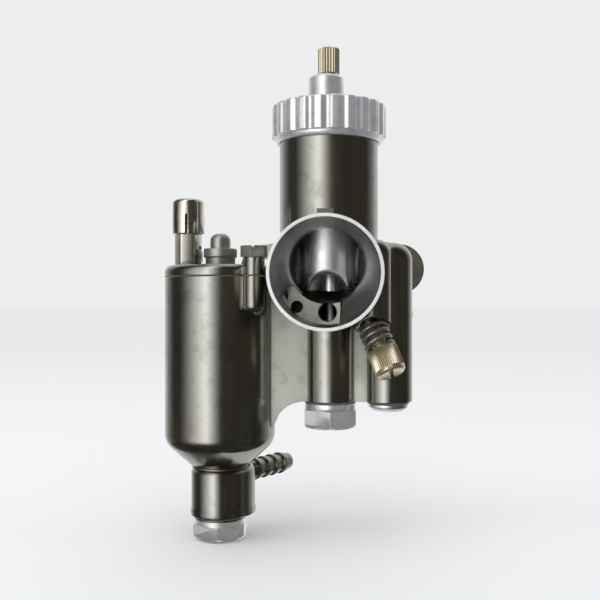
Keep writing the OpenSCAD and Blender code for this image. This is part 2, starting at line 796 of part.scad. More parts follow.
module tickler_post() {
    corner_r = post_flats / 2 / cos(30);
    color([0.85, 0.84, 0.8]) at_bowl() translate([-tickler_offset, 0, 0]) difference() {
        union() {
            post(2.6, seam_z + 0.4, lid_top_z);
            translate([0, 0, lid_top_z]) rotate([0, 0, 8])
                cylinder(r = corner_r, h = post_top_z - lid_top_z, $fn = 6);
            post(3, lid_top_z, post_neck_z);
        }
        post(pin_r + running_fit, seam_z, post_neck_z + cut);
    }
}

module tickler_button() {
    slit_w = 0.8;
    slit_h = 6.4;
    color([0.86, 0.85, 0.81]) at_bowl() translate([-tickler_offset, 0, 0]) {
        difference() {
            rounded_post(button_r, post_top_z, button_top_z, 1.6);
            post(button_r - button_wall, post_top_z - cut, button_top_z - 1.6);
            for (turn = [-85, 5, 95, 185]) rotate([0, 0, turn])
                translate([button_r - 2, -slit_w / 2, post_top_z - cut]) cube([4, slit_w, slit_h + cut]);
        }
        post(pin_r, pin_bottom_z, button_top_z - 1);
    }
}

module tickler_spring() {
    color([0.6, 0.6, 0.58]) at_bowl() translate([-tickler_offset, 0, post_neck_z + 0.05])
        coil(2.2, 0.3, button_top_z - 1.6 - post_neck_z - 0.1, 5, 12);
}

// ---------------------------------------------------------------- float and valve

module float_shape(r, z1, z2, bore) {
    corner = min(3, r / 3);
    rotate_extrude() polygon([
        [bore, z1], [r - corner, z1], [r - corner * 0.3, z1 + corner * 0.3], [r, z1 + corner],
        [r, z2 - corner], [r - corner * 0.3, z2 - corner * 0.3], [r - corner, z2], [bore, z2]
    ]);
}

module float() {
    low_z = float_top_z - float_h;
    bore = valve_r + 0.15;
    color([0.8, 0.66, 0.36]) at_bowl() difference() {
        float_shape(float_r, low_z, float_top_z, bore);
        float_shape(float_r - float_shell, low_z + float_shell, float_top_z - float_shell, bore + float_shell);
    }
}

module float_needle() {
    color([0.8, 0.8, 0.78]) at_bowl() {
        post(valve_r, valve_cone_z - 0.2, valve_top_z);
        translate([0, 0, valve_cone_z - valve_cone_h])
            cylinder(r1 = valve_foot_r, r2 = valve_r, h = valve_cone_h);
        post(valve_foot_r, valve_cone_z - valve_cone_h - 1.5, valve_cone_z - valve_cone_h);
    }
}

module float_clip() {
    color([0.8, 0.66, 0.36]) at_bowl() difference() {
        post(4, float_top_z, float_top_z + 1.2);
        post(valve_r + seat_gap, float_top_z - cut, float_top_z + 2);
    }
}

module needle_seat() {
    color([0.82, 0.72, 0.46]) at_bowl() difference() {
        post(seat_r, seat_bottom_z, bowl_floor_z + 1.5);
        post(seat_bore_r, seat_bottom_z - cut, bowl_floor_z + 2);
    }
}

// ---------------------------------------------------------------- fuel inlet

module banjo_union() {
    ring_r = union_d / 2;
    barb_start = nozzle_reach - 19;
    barb_pitch = 18 / barbs;
    gallery_r = bolt_r + 2.4;
    color([0.3, 0.31, 0.31]) difference() {
        union() {
            at_bowl() for (d = [0, union_swell]) translate([d * sin(nozzle_angle), d * cos(nozzle_angle), 0]) {
                translate([0, 0, union_bottom_z]) cylinder(r1 = ring_r - 0.6, r2 = ring_r, h = 0.6);
                post(ring_r, union_bottom_z + 0.6, union_top_z - 1);
                translate([0, 0, union_top_z - 1]) cylinder(r1 = ring_r, r2 = ring_r - 1, h = 1);
            }
            along_nozzle() {
                post(nozzle_r, bolt_r + 1, nozzle_reach);
                for (i = [0:barbs - 1]) translate([0, 0, barb_start + i * barb_pitch])
                    cylinder(r1 = barb_r, r2 = nozzle_r - 0.1, h = barb_pitch);
            }
        }
        at_bowl() {
            post(bolt_r + 0.2, union_bottom_z - cut, union_top_z + cut);
            post(gallery_r, union_bottom_z + 4, union_top_z - 2.5);
        }
        along_nozzle() post(1.9, bolt_r + 1, nozzle_reach + cut);
    }
}

module banjo_washers() {
    color([0.62, 0.42, 0.26]) at_bowl() {
        tube(neck_r - 0.5, bolt_r + 0.2, union_top_z, neck_bottom_z);
        tube(8.9, bolt_r + 0.2, bolt_collar_z, union_bottom_z);
    }
}

module banjo_bolt() {
    collar_t = 1.6;
    hex_h = 4.7;
    hex_z = bolt_collar_z - collar_t;
    top_z = seat_bottom_z - 0.4;
    color([0.76, 0.78, 0.82]) at_bowl() difference() {
        union() {
            post(8.7, hex_z, bolt_collar_z);
            rotate([0, 0, 33]) hex_head(plug_flats, hex_z - hex_h, hex_z);
            post(bolt_r, hex_z - 1, top_z);
        }
        post(2.8, union_bottom_z + 3, top_z + cut);
        translate([0, 0, nozzle_z - 4]) for (turn = [0, 90]) rotate([0, 0, turn])
            rotate([90, 0, 0]) cylinder(r = 1.5, h = 20, center = true);
    }
}

module fuel_strainer() {
    color([0.75, 0.65, 0.4]) at_bowl()
        tube(bolt_r + 1.6, bolt_r + 1.1, union_bottom_z + 4.1, union_top_z - 2.6);
}

body_casting();
chamber_cap();
cap_ring_nut();
cable_adjuster();
slide_guide_pin();
throttle_slide();
slide_spring();
jet_needle();
needle_clip();
needle_jet();
main_jet();
jet_well_plug();
jet_well_washer();
idle_jet();
idle_well_plug();
idle_well_washer();
throttle_stop_screw();
stop_screw_spring();
air_screw();
air_screw_spring();
bowl_lid();
lid_gasket();
lid_screws();
needle_guide_cap();
tickler_post();
tickler_button();
tickler_spring();
float();
float_needle();
float_clip();
needle_seat();
banjo_union();
banjo_washers();
banjo_bolt();
fuel_strainer();
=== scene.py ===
"""Motorcycle carburettor with a barrel throttle slide: the visual model over its CAD frame.

Every class below is one sub-assembly. Its fields are sizes in millimetres in the row frame, its
methods build the meshes with bmesh operators and dress them with procedural finishes.
"""

import json
import logging
import math
from dataclasses import dataclass, field
from enum import Enum
from typing import Callable, Iterable, Optional, Sequence

import bmesh
import bpy
from mathutils import Matrix, Vector

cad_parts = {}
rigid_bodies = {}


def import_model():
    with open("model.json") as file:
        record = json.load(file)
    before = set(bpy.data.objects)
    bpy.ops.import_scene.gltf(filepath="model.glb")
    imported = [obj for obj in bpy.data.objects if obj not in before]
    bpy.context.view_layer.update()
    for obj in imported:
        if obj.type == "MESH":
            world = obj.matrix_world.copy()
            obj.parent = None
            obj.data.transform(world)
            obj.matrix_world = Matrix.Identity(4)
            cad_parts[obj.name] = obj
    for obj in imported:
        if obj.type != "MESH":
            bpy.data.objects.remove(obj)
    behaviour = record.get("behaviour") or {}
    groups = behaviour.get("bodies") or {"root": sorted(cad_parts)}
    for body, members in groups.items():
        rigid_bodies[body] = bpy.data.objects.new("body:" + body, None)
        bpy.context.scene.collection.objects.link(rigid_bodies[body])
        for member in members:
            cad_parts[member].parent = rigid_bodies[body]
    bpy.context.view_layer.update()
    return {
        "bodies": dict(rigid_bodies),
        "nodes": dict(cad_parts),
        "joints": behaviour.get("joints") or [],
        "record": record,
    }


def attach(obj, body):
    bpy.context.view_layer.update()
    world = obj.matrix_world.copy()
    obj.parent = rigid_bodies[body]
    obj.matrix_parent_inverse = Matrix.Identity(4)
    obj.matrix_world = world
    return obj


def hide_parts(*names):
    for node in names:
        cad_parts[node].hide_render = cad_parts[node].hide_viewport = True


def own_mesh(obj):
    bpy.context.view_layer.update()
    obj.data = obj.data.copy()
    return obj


LOG = logging.getLogger("carburettor")
MM = 0.001
TURN = 2 * math.pi
Point = tuple[float, float]
Colour = tuple[float, float, float]


class Axis(Enum):
    """The upright axes that pieces are built around, as (x, y) in millimetres."""

    CHAMBER = (0.0, -35.0)
    BOWL = (-37.1, -35.0)
    WELL = (0.5, -35.0)
    IDLE = (20.0, -35.0)
    TICKLER = (-48.2, -35.0)

    def matrix(self, turn: float = 0.0) -> Matrix:
        """Placement on this axis, turned by `turn` degrees about it."""
        x, y = self.value
        return Matrix.Translation((x, y, 0)) @ Matrix.Rotation(math.radians(turn), 4, "Z")


class Grain(Enum):
    """How a finish's fine marks run."""

    EVEN = "even"
    TURNED = "turned"
    DRAWN = "drawn"
    CAST = "cast"


# ------------------------------------------------------------------ finishes


class Nodes:
    """A small helper that adds and links shader nodes."""

    def __init__(self, material: bpy.types.Material) -> None:
        """Empties the material's node tree and keeps it."""
        material.use_nodes = True
        self.tree = material.node_tree
        self.tree.nodes.clear()

    def add(self, kind: str, **settings: object) -> bpy.types.Node:
        """Adds a node.

        Args:
            kind: the node's type name.
            settings: node properties, or input sockets by name with spaces as underscores.

        Returns:
            The new node.
        """
        made = self.tree.nodes.new(kind)
        for name, value in settings.items():
            if hasattr(made, name):
                setattr(made, name, value)
            else:
                made.inputs[name.replace("_", " ")].default_value = value
        return made

    def link(self, source: bpy.types.NodeSocket, target: bpy.types.NodeSocket) -> None:
        """Links two sockets."""
        self.tree.links.new(source, target)

    def noise(self, coords: bpy.types.NodeSocket, scale: float, detail: float = 3.0) -> bpy.types.NodeSocket:
        """A noise value at the coordinates, from 0 to 1."""
        made = self.add("ShaderNodeTexNoise", Scale=scale, Detail=detail)
        self.link(coords, made.inputs["Vector"])
        return made.outputs["Fac"]

    def stretch(self, coords: bpy.types.NodeSocket, scale: Sequence[float]) -> bpy.types.NodeSocket:
        """The coordinates scaled along each axis."""
        made = self.add("ShaderNodeMapping")
        made.inputs["Scale"].default_value = scale
        self.link(coords, made.inputs["Vector"])
        return made.outputs["Vector"]

    def ramp(self, value: bpy.types.NodeSocket, low: float, high: float, a: float = 0.0,
             b: float = 1.0) -> bpy.types.NodeSocket:
        """Maps low..high of a value to a..b, clamped."""
        made = self.add("ShaderNodeMapRange")
        for name, number in (("From Min", low), ("From Max", high), ("To Min", a), ("To Max", b)):
            made.inputs[name].default_value = number
        self.link(value, made.inputs["Value"])
        return made.outputs["Result"]

    def mix(self, factor: bpy.types.NodeSocket, a: object, b: object) -> bpy.types.NodeSocket:
        """Mixes two colours, each a colour or a socket."""
        made = self.add("ShaderNodeMix", data_type="RGBA")
        self.link(factor, made.inputs[0])
        for value, socket in ((a, made.inputs[6]), (b, made.inputs[7])):
            if isinstance(value, bpy.types.NodeSocket):
                self.link(value, socket)
            else:
                socket.default_value = (*value, 1.0)
        return made.outputs[2]

    def maths(self, operation: str, a: object, b: object) -> bpy.types.NodeSocket:
        """A maths node on two numbers or sockets."""
        made = self.add("ShaderNodeMath", operation=operation)
        for value, socket in ((a, made.inputs[0]), (b, made.inputs[1])):
            if isinstance(value, bpy.types.NodeSocket):
                self.link(value, socket)
            else:
                socket.default_value = value
        return made.outputs[0]


@dataclass(frozen=True)
class Finish:
    """One surface finish: colours, gloss, marks and wear."""

    name: str
    colour: Colour
    second: Colour
    worn: Colour
    metallic: float = 1.0
    roughness: float = 0.3
    spread: float = 0.08
    grain: Grain = Grain.EVEN
    bump: float = 0.08
    grain_scale: float = 900.0
    patch_scale: float = 60.0
    edge: float = 0.6
    edge_radius: float = 0.35
    dirt: float = 0.25

    def material(self) -> bpy.types.Material:
        """The finish's material, built once.

        Returns:
            The material, shared by every piece with this finish.
        """
        found = bpy.data.materials.get(self.name)
        if found is not None:
            return found
        made = bpy.data.materials.new(self.name)
        nodes = Nodes(made)
        coords = nodes.add("ShaderNodeTexCoord").outputs["Object"]
        patches = nodes.noise(coords, self.patch_scale, 5.0)
        blotch = nodes.noise(coords, self.patch_scale * 3.7, 4.0)
        marks = self._marks(nodes, coords)

        round_edge = nodes.add("ShaderNodeBevel", samples=6, Radius=self.edge_radius * MM)
        true_normal = nodes.add("ShaderNodeNewGeometry").outputs["Normal"]
        facing = nodes.add("ShaderNodeVectorMath", operation="DOT_PRODUCT")
        nodes.link(round_edge.outputs["Normal"], facing.inputs[0])
        nodes.link(true_normal, facing.inputs[1])
        edge = nodes.ramp(facing.outputs["Value"], 0.995, 0.90)
        chipped = nodes.maths("MULTIPLY", edge, nodes.ramp(blotch, 0.38, 0.62, 0.35, self.edge))

        colour = nodes.mix(nodes.ramp(patches, 0.36, 0.66), self.colour, self.second)
        grime = nodes.maths("MULTIPLY", nodes.ramp(blotch, 0.52, 0.72), self.dirt)
        dark = tuple(c * 0.35 for c in self.colour)
        colour = nodes.mix(grime, colour, dark)
        colour = nodes.mix(nodes.ramp(marks, 0.62, 0.80, 0.0, 0.22), colour, self.worn)
        colour = nodes.mix(chipped, colour, self.worn)

        rough = nodes.maths("ADD", nodes.ramp(patches, 0.3, 0.7, self.roughness - self.spread,
                                              self.roughness + self.spread),
                            nodes.ramp(marks, 0.3, 0.8, 0.0, self.spread))
        bump = nodes.add("ShaderNodeBump", Strength=self.bump, Distance=0.12 * MM)
        nodes.link(marks, bump.inputs["Height"])
        nodes.link(round_edge.outputs["Normal"], bump.inputs["Normal"])

        surface = nodes.add("ShaderNodeBsdfPrincipled", Metallic=self.metallic)
        nodes.link(colour, surface.inputs["Base Color"])
        nodes.link(rough, surface.inputs["Roughness"])
        nodes.link(bump.outputs["Normal"], surface.inputs["Normal"])
        output = nodes.add("ShaderNodeOutputMaterial")
        nodes.link(surface.outputs["BSDF"], output.inputs["Surface"])
        return made

    def _marks(self, nodes: Nodes, coords: bpy.types.NodeSocket) -> bpy.types.NodeSocket:
        """The fine marks of this grain, as a value from 0 to 1."""
        if self.grain is Grain.TURNED:
            lines = nodes.noise(nodes.stretch(coords, (0.05, 0.05, 4.0)), self.grain_scale, 2.0)
            return nodes.maths("ADD", nodes.maths("MULTIPLY", lines, 0.8),
                               nodes.maths("MULTIPLY", nodes.noise(coords, 420.0, 4.0), 0.2))
        if self.grain is Grain.DRAWN:
            lines = nodes.noise(nodes.stretch(coords, (3.0, 3.0, 0.08)), self.grain_scale, 3.0)
            return nodes.maths("ADD", nodes.maths("MULTIPLY", lines, 0.6),
                               nodes.maths("MULTIPLY", nodes.noise(coords, 500.0, 4.0), 0.4))
        if self.grain is Grain.CAST:
            lumps = nodes.noise(coords, self.grain_scale * 0.45, 6.0)
            pits = nodes.add("ShaderNodeTexVoronoi", Scale=self.grain_scale * 0.8)
            nodes.link(coords, pits.inputs["Vector"])
            return nodes.maths("ADD", nodes.maths("MULTIPLY", lumps, 0.7),
                               nodes.maths("MULTIPLY", pits.outputs["Distance"], 0.5))
        return nodes.noise(coords, self.grain_scale, 5.0)


GUNMETAL = Finish("gunmetal_casting", (0.335, 0.35, 0.325), (0.33, 0.315, 0.27), (0.60, 0.61, 0.58),
                  roughness=0.18, spread=0.05, grain=Grain.EVEN, bump=0.07, grain_scale=600.0,
                  patch_scale=45.0, edge=0.75, edge_radius=0.45, dirt=0.35)
# Painted shade: a near-black finish that stands for the shadow in the casting's holes and passages behind the
# plateau, and on the stop screw's tip.
PAINTED_SHADE = Finish("painted_shade_black", (0.05, 0.048, 0.045), (0.035, 0.03, 0.028), (0.12, 0.115, 0.1),
               roughness=0.35, bump=0.08, edge_radius=0.2)
ROUGH_CAST = Finish("sand_cast_alloy", (0.60, 0.59, 0.52), (0.50, 0.49, 0.435), (0.74, 0.73, 0.68),
                    metallic=0.55, roughness=0.5, grain=Grain.CAST, bump=0.5, grain_scale=1500.0,
                    edge=0.5, edge_radius=0.5, dirt=0.35)
BORED = Finish("bored_alloy", (0.40, 0.40, 0.39), (0.33, 0.33, 0.32), (0.7, 0.7, 0.68),
               roughness=0.33, grain=Grain.EVEN, bump=0.07, edge=0.7, edge_radius=0.6, dirt=0.25)
BRIGHT_RIM = Finish("machined_rim", (0.86, 0.86, 0.85), (0.78, 0.78, 0.77), (0.92, 0.92, 0.91),
                    metallic=0.25, roughness=0.3, bump=0.05, edge_radius=0.3)
ALUMINIUM = Finish("turned_aluminium", (0.84, 0.85, 0.86), (0.76, 0.78, 0.81), (0.93, 0.94, 0.94),
                   metallic=0.7, roughness=0.28, spread=0.06, grain=Grain.TURNED, bump=0.12,
                   grain_scale=1400.0, edge=0.6, edge_radius=0.25, dirt=0.3)
PALE_BRASS = Finish("pale_brass", (0.66, 0.61, 0.46), (0.56, 0.52, 0.39), (0.86, 0.83, 0.73),
                    roughness=0.3, grain=Grain.EVEN, bump=0.08, edge=0.7, edge_radius=0.15, dirt=0.45)
YELLOW_BRASS = Finish("yellow_brass", (0.66, 0.48, 0.2), (0.55, 0.39, 0.16), (0.85, 0.72, 0.4),
                      roughness=0.28, grain=Grain.TURNED, bump=0.08, edge_radius=0.2, dirt=0.35)
STEEL = Finish("slide_steel", (0.88, 0.89, 0.88), (0.80, 0.81, 0.80), (0.94, 0.94, 0.93),
               roughness=0.36, grain=Grain.DRAWN, bump=0.10, grain_scale=800.0, edge=0.6,
               edge_radius=0.3, dirt=0.25)
SPRING = Finish("spring_steel", (0.36, 0.34, 0.31), (0.28, 0.25, 0.22), (0.62, 0.6, 0.56),
                roughness=0.3, bump=0.08, edge_radius=0.1, dirt=0.4)
ZINC = Finish("old_zinc", (0.19, 0.188, 0.155), (0.13, 0.13, 0.11), (0.36, 0.35, 0.31),
              metallic=0.8, roughness=0.42, grain=Grain.CAST, bump=0.22, grain_scale=1100.0,
              edge=0.7, edge_radius=0.3, dirt=0.4)
CHROME = Finish("worn_chrome", (0.74, 0.71, 0.64), (0.62, 0.59, 0.52), (0.85, 0.83, 0.77),
                roughness=0.12, spread=0.05, bump=0.03, edge_radius=0.2, dirt=0.35)
FIBRE = Finish("gasket_fibre", (0.16, 0.11, 0.07), (0.1, 0.07, 0.05), (0.28, 0.22, 0.16),
               metallic=0.0, roughness=0.8, grain=Grain.CAST, bump=0.4, edge_radius=0.1)
COPPER = Finish("copper_washer", (0.40, 0.31, 0.23), (0.29, 0.22, 0.17), (0.62, 0.5, 0.4),
                roughness=0.35, grain=Grain.TURNED, bump=0.1, edge_radius=0.1, dirt=0.4)

SLOT_FINISH: dict[str, Finish] = {
    "dark_casting": GUNMETAL,
    "bright_aluminium": ALUMINIUM,
    "pale_brass": PALE_BRASS,
    "yellow_brass": YELLOW_BRASS,
    "steel": STEEL,
    "spring_steel": SPRING,
    "old_zinc": ZINC,
    "chrome": CHROME,
    "gasket_fibre": FIBRE,
    "copper": COPPER,
}


# ------------------------------------------------------------------ mesh building


class Shape:
    """A mesh in the making, in millimetres, edited with bmesh operators."""

    def __init__(self) -> None:
        """Starts an empty mesh."""
        self.bm = bmesh.new()

    @classmethod
    def copy_of(cls, node: str, weld: float = 0.0015) -> "Shape":
        """A welded copy of a CAD node.

        Args:
            node: the CAD node's name.
            weld: how close two corners are to become one, in millimetres.

        Returns:
            The copy, in millimetres, with its flat triangles dissolved into whole faces.
        """
        made = cls()
        made.bm.from_mesh(bpy.data.objects[node].data)
        for face in made.bm.faces:
            face.material_index = 0
        made.move(Matrix.Scale(1 / MM, 4))
        bmesh.ops.remove_doubles(made.bm, verts=made.bm.verts, dist=weld)
        bmesh.ops.dissolve_limit(made.bm, angle_limit=math.radians(0.6), verts=made.bm.verts,
                                 edges=made.bm.edges)
        bmesh.ops.recalc_face_normals(made.bm, faces=made.bm.faces)
        return made

    def clean(self) -> "Shape":
        """Welds doubled corners and turns the faces outwards."""
        bmesh.ops.remove_doubles(self.bm, verts=self.bm.verts, dist=0.0005)
        bmesh.ops.recalc_face_normals(self.bm, faces=self.bm.faces)
        return self

    def move(self, matrix: Matrix) -> "Shape":
        """Moves the whole mesh."""
        bmesh.ops.transform(self.bm, matrix=matrix, verts=self.bm.verts)
        return self

    def add(self, other: "Shape") -> "Shape":
        """Takes in another shape's mesh, as a separate shell of the same piece."""
        mesh = bpy.data.meshes.new("part")
        other.bm.to_mesh(mesh)
        self.bm.from_mesh(mesh)
        bpy.data.meshes.remove(mesh)
        other.bm.free()
        return self

    def lathe(self, profile: Sequence[Point], steps: int = 96, closed: bool = False) -> "Shape":
        """Spins a profile about Z.

        Args:
            profile: points as (radius, height).
            steps: segments around the turn.
            closed: True where the profile's last point joins the first, as in a ring.

        Returns:
            This shape.
        """
        verts = [self.bm.verts.new((r, 0, z)) for r, z in profile]
        pairs = list(zip(verts, verts[1:]))
        if closed:
            pairs.append((verts[-1], verts[0]))
        edges = [self.bm.edges.new(pair) for pair in pairs]
        bmesh.ops.spin(self.bm, geom=verts + edges, cent=(0, 0, 0), axis=(0, 0, 1), angle=TURN,
                       steps=steps, use_merge=True)
        return self.clean()

    def soften(self, width: float, segments: int = 2, angle: float = 28.0,
               where: Optional[Callable[[bmesh.types.BMEdge], bool]] = None) -> "Shape":
        """Rounds the sharp edges.

        Args:
            width: the rounding's width in millimetres.
            segments: faces across the rounding.
            angle: the smallest angle between faces that counts as an edge, in degrees.
            where: a test that an edge has to pass as well.

        Returns:
            This shape.
        """
        limit = math.radians(angle)
        sharp = [e for e in self.bm.edges if len(e.link_faces) == 2 and e.calc_face_angle(0.0) > limit
                 and (where is None or where(e))]
        bmesh.ops.bevel(self.bm, geom=sharp, offset=width, offset_type="OFFSET", segments=segments,
                        profile=0.5, affect="EDGES", clamp_overlap=True, material=-1)
        return self

    def coil(self, radius: float, wire: float, low: float, high: float, turns: float,
             steps: int = 40, sides: int = 12) -> "Shape":
        """A helical spring of round wire with its ends closed, between two heights."""
        around = Matrix.Translation((radius, 0, low + wire)) @ Matrix.Rotation(math.pi / 2, 4, "X")
        made = bmesh.ops.create_circle(self.bm, segments=sides, radius=wire, matrix=around)
        edges = list({e for v in made["verts"] for e in v.link_edges})
        total = round(turns * steps)
        rise = (high - low - 2 * wire) / total
        bmesh.ops.spin(self.bm, geom=made["verts"] + edges, cent=(0, 0, 0), axis=(0, 0, 1),
                       dvec=(0, 0, rise), angle=TURN * turns, steps=total)
        rims = [e for e in self.bm.edges if len(e.link_faces) == 1]
        bmesh.ops.holes_fill(self.bm, edges=rims, sides=sides)
        return self.clean()

    def thread(self, radius: float, depth: float, pitch: float, low: float, high: float,
               steps: int = 40) -> "Shape":
        """A rounded screw ridge wound around a stem."""
        turns = (high - low - pitch * 0.8) / pitch
        ridge = [(radius - depth, low), (radius - depth * 0.15, low + pitch * 0.3),
                 (radius, low + pitch * 0.4), (radius - depth * 0.15, low + pitch * 0.5),
                 (radius - depth, low + pitch * 0.8)]
        verts = [self.bm.verts.new((r, 0, z)) for r, z in ridge]
        edges = [self.bm.edges.new(pair) for pair in zip(verts, verts[1:] + verts[:1])]
        total = max(8, round(turns * steps))
        bmesh.ops.spin(self.bm, geom=verts + edges, cent=(0, 0, 0), axis=(0, 0, 1),
                       dvec=(0, 0, pitch * turns / total), angle=TURN * turns, steps=total)
        rims = [e for e in self.bm.edges if len(e.link_faces) == 1]
        bmesh.ops.holes_fill(self.bm, edges=rims, sides=5)
        return self.clean()

    def edged_band(self, radius: float, inner: float, count: int, low: float, high: float,
                   dip: Callable[[float], float], fine: int = 12) -> "Shape":
        """A ring or a head with marks cut around its rim.

        Args:
            radius: the outside radius.
            inner: the bore's radius.
            count: how many marks run around the rim.
            low: the bottom's height.
            high: the top's height.
            dip: how far the rim dips at a phase from 0 to 1 of one mark.
            fine: corners for each mark.

        Returns:
            This shape.
        """
        loops = []
        for r in (radius, inner):
            ring = bmesh.ops.create_circle(self.bm, segments=count * fine, radius=r,
                                           matrix=Matrix.Translation((0, 0, low)))["verts"]
            if r == radius:
                for vert in ring:
                    phase = (math.atan2(vert.co.y, vert.co.x) / TURN * count) % 1.0
                    vert.co.xy *= 1 - dip(phase) / radius
            base = list({e for v in ring for e in v.link_edges})
            grown = bmesh.ops.extrude_edge_only(self.bm, edges=base)["geom"]
            top = [g for g in grown if isinstance(g, bmesh.types.BMVert)]
            bmesh.ops.translate(self.bm, verts=top, vec=(0, 0, high - low))
            members = set(top)
            rim = [e for e in self.bm.edges if e.verts[0] in members and e.verts[1] in members]
            loops.append((base, rim))
        for k in (0, 1):
            bmesh.ops.bridge_loops(self.bm, edges=loops[0][k] + loops[1][k])
        return self.clean()

    def split(self, low: float, high: float) -> "Shape":
        """Cuts the faces at two heights, so that bands can be dressed apart."""
        for z in (low, high):
            geom = list(self.bm.verts) + list(self.bm.edges) + list(self.bm.faces)
            bmesh.ops.bisect_plane(self.bm, geom=geom, plane_co=(0, 0, z), plane_no=(0, 0, 1))
        return self

    def finish(self, name: str, body: str, slot: str, finishes: Finish | Sequence[Finish],
               stands_for: Iterable[str] = (), smooth: float = 34.0) -> bpy.types.Object:
        """Writes the mesh into the scene.

        Args:
            name: the new object's name.
            body: the CAD body that it rides on.
            slot: the record's material slot; not used.
            finishes: its finish, or several in the order of its faces' material numbers.
            stands_for: the CAD nodes that it replaces.
            smooth: the largest angle that shading runs across, in degrees.

        Returns:
            The new object.
        """
        self.move(Matrix.Scale(MM, 4))
        mesh = bpy.data.meshes.new(name)
        self.bm.to_mesh(mesh)
        self.bm.free()
        for polygon in mesh.polygons:
            polygon.use_smooth = True
        mesh.set_sharp_from_angle(angle=math.radians(smooth))
        several = [finishes] if isinstance(finishes, Finish) else list(finishes)
        for one in several:
            mesh.materials.append(one.material())
        made = bpy.data.objects.new(name, mesh)
        bpy.context.scene.collection.objects.link(made)
        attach(made, body)
        if stands_for:
            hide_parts(*stands_for)
        LOG.info("%s: %d faces on %s", name, len(mesh.polygons), body)
        return made


@dataclass(frozen=True)
class RoundWall:
    """A cylinder that some of a piece's faces lie on, in millimetres."""

    centre: Point
    radius: float
    along: str = "Z"

    def outwards(self, at: Vector) -> Vector:
        """The vector from the wall's axis to a point, square to the axis."""
        if self.along == "Z":
            return Vector((at.x - self.centre[0], at.y - self.centre[1], 0))
        return Vector((at.x - self.centre[0], 0, at.z - self.centre[1]))

    def holds(self, points: Sequence[Vector], gap: float = 0.03) -> bool:
        """True where every point lies on this wall."""
        return all(abs(self.outwards(p).length - self.radius) < gap for p in points)


def shade_round(mesh: bpy.types.Mesh, walls: Sequence[RoundWall]) -> None:
    """Gives the faces on round walls the walls' own normals, so that highlights run straight.

    Args:
        mesh: the finished mesh, in metres.
        walls: the walls to look for.
    """
    normals = [Vector(n.vector) for n in mesh.corner_normals]
    for polygon in mesh.polygons:
        points = [mesh.vertices[i].co / MM for i in polygon.vertices]
        middle = Vector(polygon.center) / MM
        for wall in walls:
            radial = wall.outwards(middle).normalized()
            facing = radial.dot(polygon.normal)
            if abs(facing) > 0.985 and wall.holds(points):
                for loop, point in zip(polygon.loop_indices, points):
                    normals[loop] = wall.outwards(point).normalized() * math.copysign(1.0, facing)
                break
    mesh.normals_split_custom_set(normals)


def near(a: float, b: float, gap: float = 0.05) -> bool:
    """True where two numbers are within a gap of each other."""
    return abs(a - b) <= gap


# ------------------------------------------------------------------ sub-assemblies


@dataclass
class Casting:
    """The body casting with its bell, wells, flange and bowl."""

    body: str = "carburetor_body"
    bell_mouth_y: float = -66.3
    plateau_y: float = -51.2
    bell_r: float = 17.85
    bell_z: float = -3.0
    well_x_low: float = -11.7

    def build(self) -> None:
        """Builds the casting and dresses its faces by region."""
        shape = Shape.copy_of("body_casting")
        for face in shape.bm.faces:
            face.material_index = self._region(face)
        made = shape.finish("casting", self.body, "dark_casting", [GUNMETAL, ROUGH_CAST, BORED, BRIGHT_RIM,
                                                                   PAINTED_SHADE],
                            ["body_casting"], smooth=30.0)
        shade_round(made.data, self.walls())

    def walls(self) -> list[RoundWall]:
        """The casting's round walls: tube, bowl, wells, ridge, lugs, bell and flange."""
        bowl = Axis.BOWL.value
        found = [RoundWall(Axis.CHAMBER.value, 16.6), RoundWall(bowl, 18.7), RoundWall(Axis.WELL.value, 8.95),
                 RoundWall(Axis.IDLE.value, 8.1), RoundWall((14.5, -46.0),
                                                            6.2), RoundWall(Axis.CHAMBER.value, 10.25),
                 RoundWall((0.0, self.bell_z), self.bell_r, "Y"), RoundWall((0.0, 0.0), 12.0, "Y"),
                 RoundWall((0.0, 0.0), 9.5, "Y"), RoundWall((0.0, 0.0), 13.0, "Y")]
        found += [RoundWall((side * 25.0, 0.0), 9.3, "Y") for side in (-1, 1)]
        for turn in (-49.5, 130.5):
            a = math.radians(turn)
            found.append(RoundWall((bowl[0] + 21 * math.cos(a), bowl[1] + 21 * math.sin(a)), 3.45))
        return found

    def _region(self, face: bmesh.types.BMFace) -> int:
        """The finish number of a face, from where it lies and faces."""
        middle, normal = face.calc_center_median(), face.normal
        from_bell = math.hypot(middle.x, middle.z - self.bell_z)
        if near(middle.y, self.bell_mouth_y, 0.1) and normal.y < -0.9:
            return 3
        if near(middle.y, self.plateau_y, 0.1) and normal.y < -0.9 and from_bell < self.bell_r:
            return 1
        # Painted shade: faces of the holes and passages behind the plateau, below the throat, take finish
        # number 4, the near-black painted shade.
        in_ways = self.plateau_y + 0.2 < middle.y < -37.0 and self.well_x_low < middle.x < 4.6
        if in_ways and -17.5 < middle.z < -9.2 and from_bell < 14.8:
            return 4
        inwards = normal.x * middle.x + normal.z * (middle.z - self.bell_z) < 0
        if (from_bell < self.bell_r - 0.3 and middle.y < -34.0 and middle.z > -19.5
                and (inwards or abs(normal.y) > 0.3)):
            return 2
        on_web = near(middle.y, -40.0) or near(middle.y, -30.0)
        if on_web and middle.x < -3.0 and middle.z < -8.0 and abs(normal.y) > 0.99:
            return 1
        on_bridge = near(middle.y, -39.0) or near(middle.y, -31.0)
        if on_bridge and 5.0 < middle.x < 20.0 and abs(normal.y) > 0.99:
            return 1
        return 0


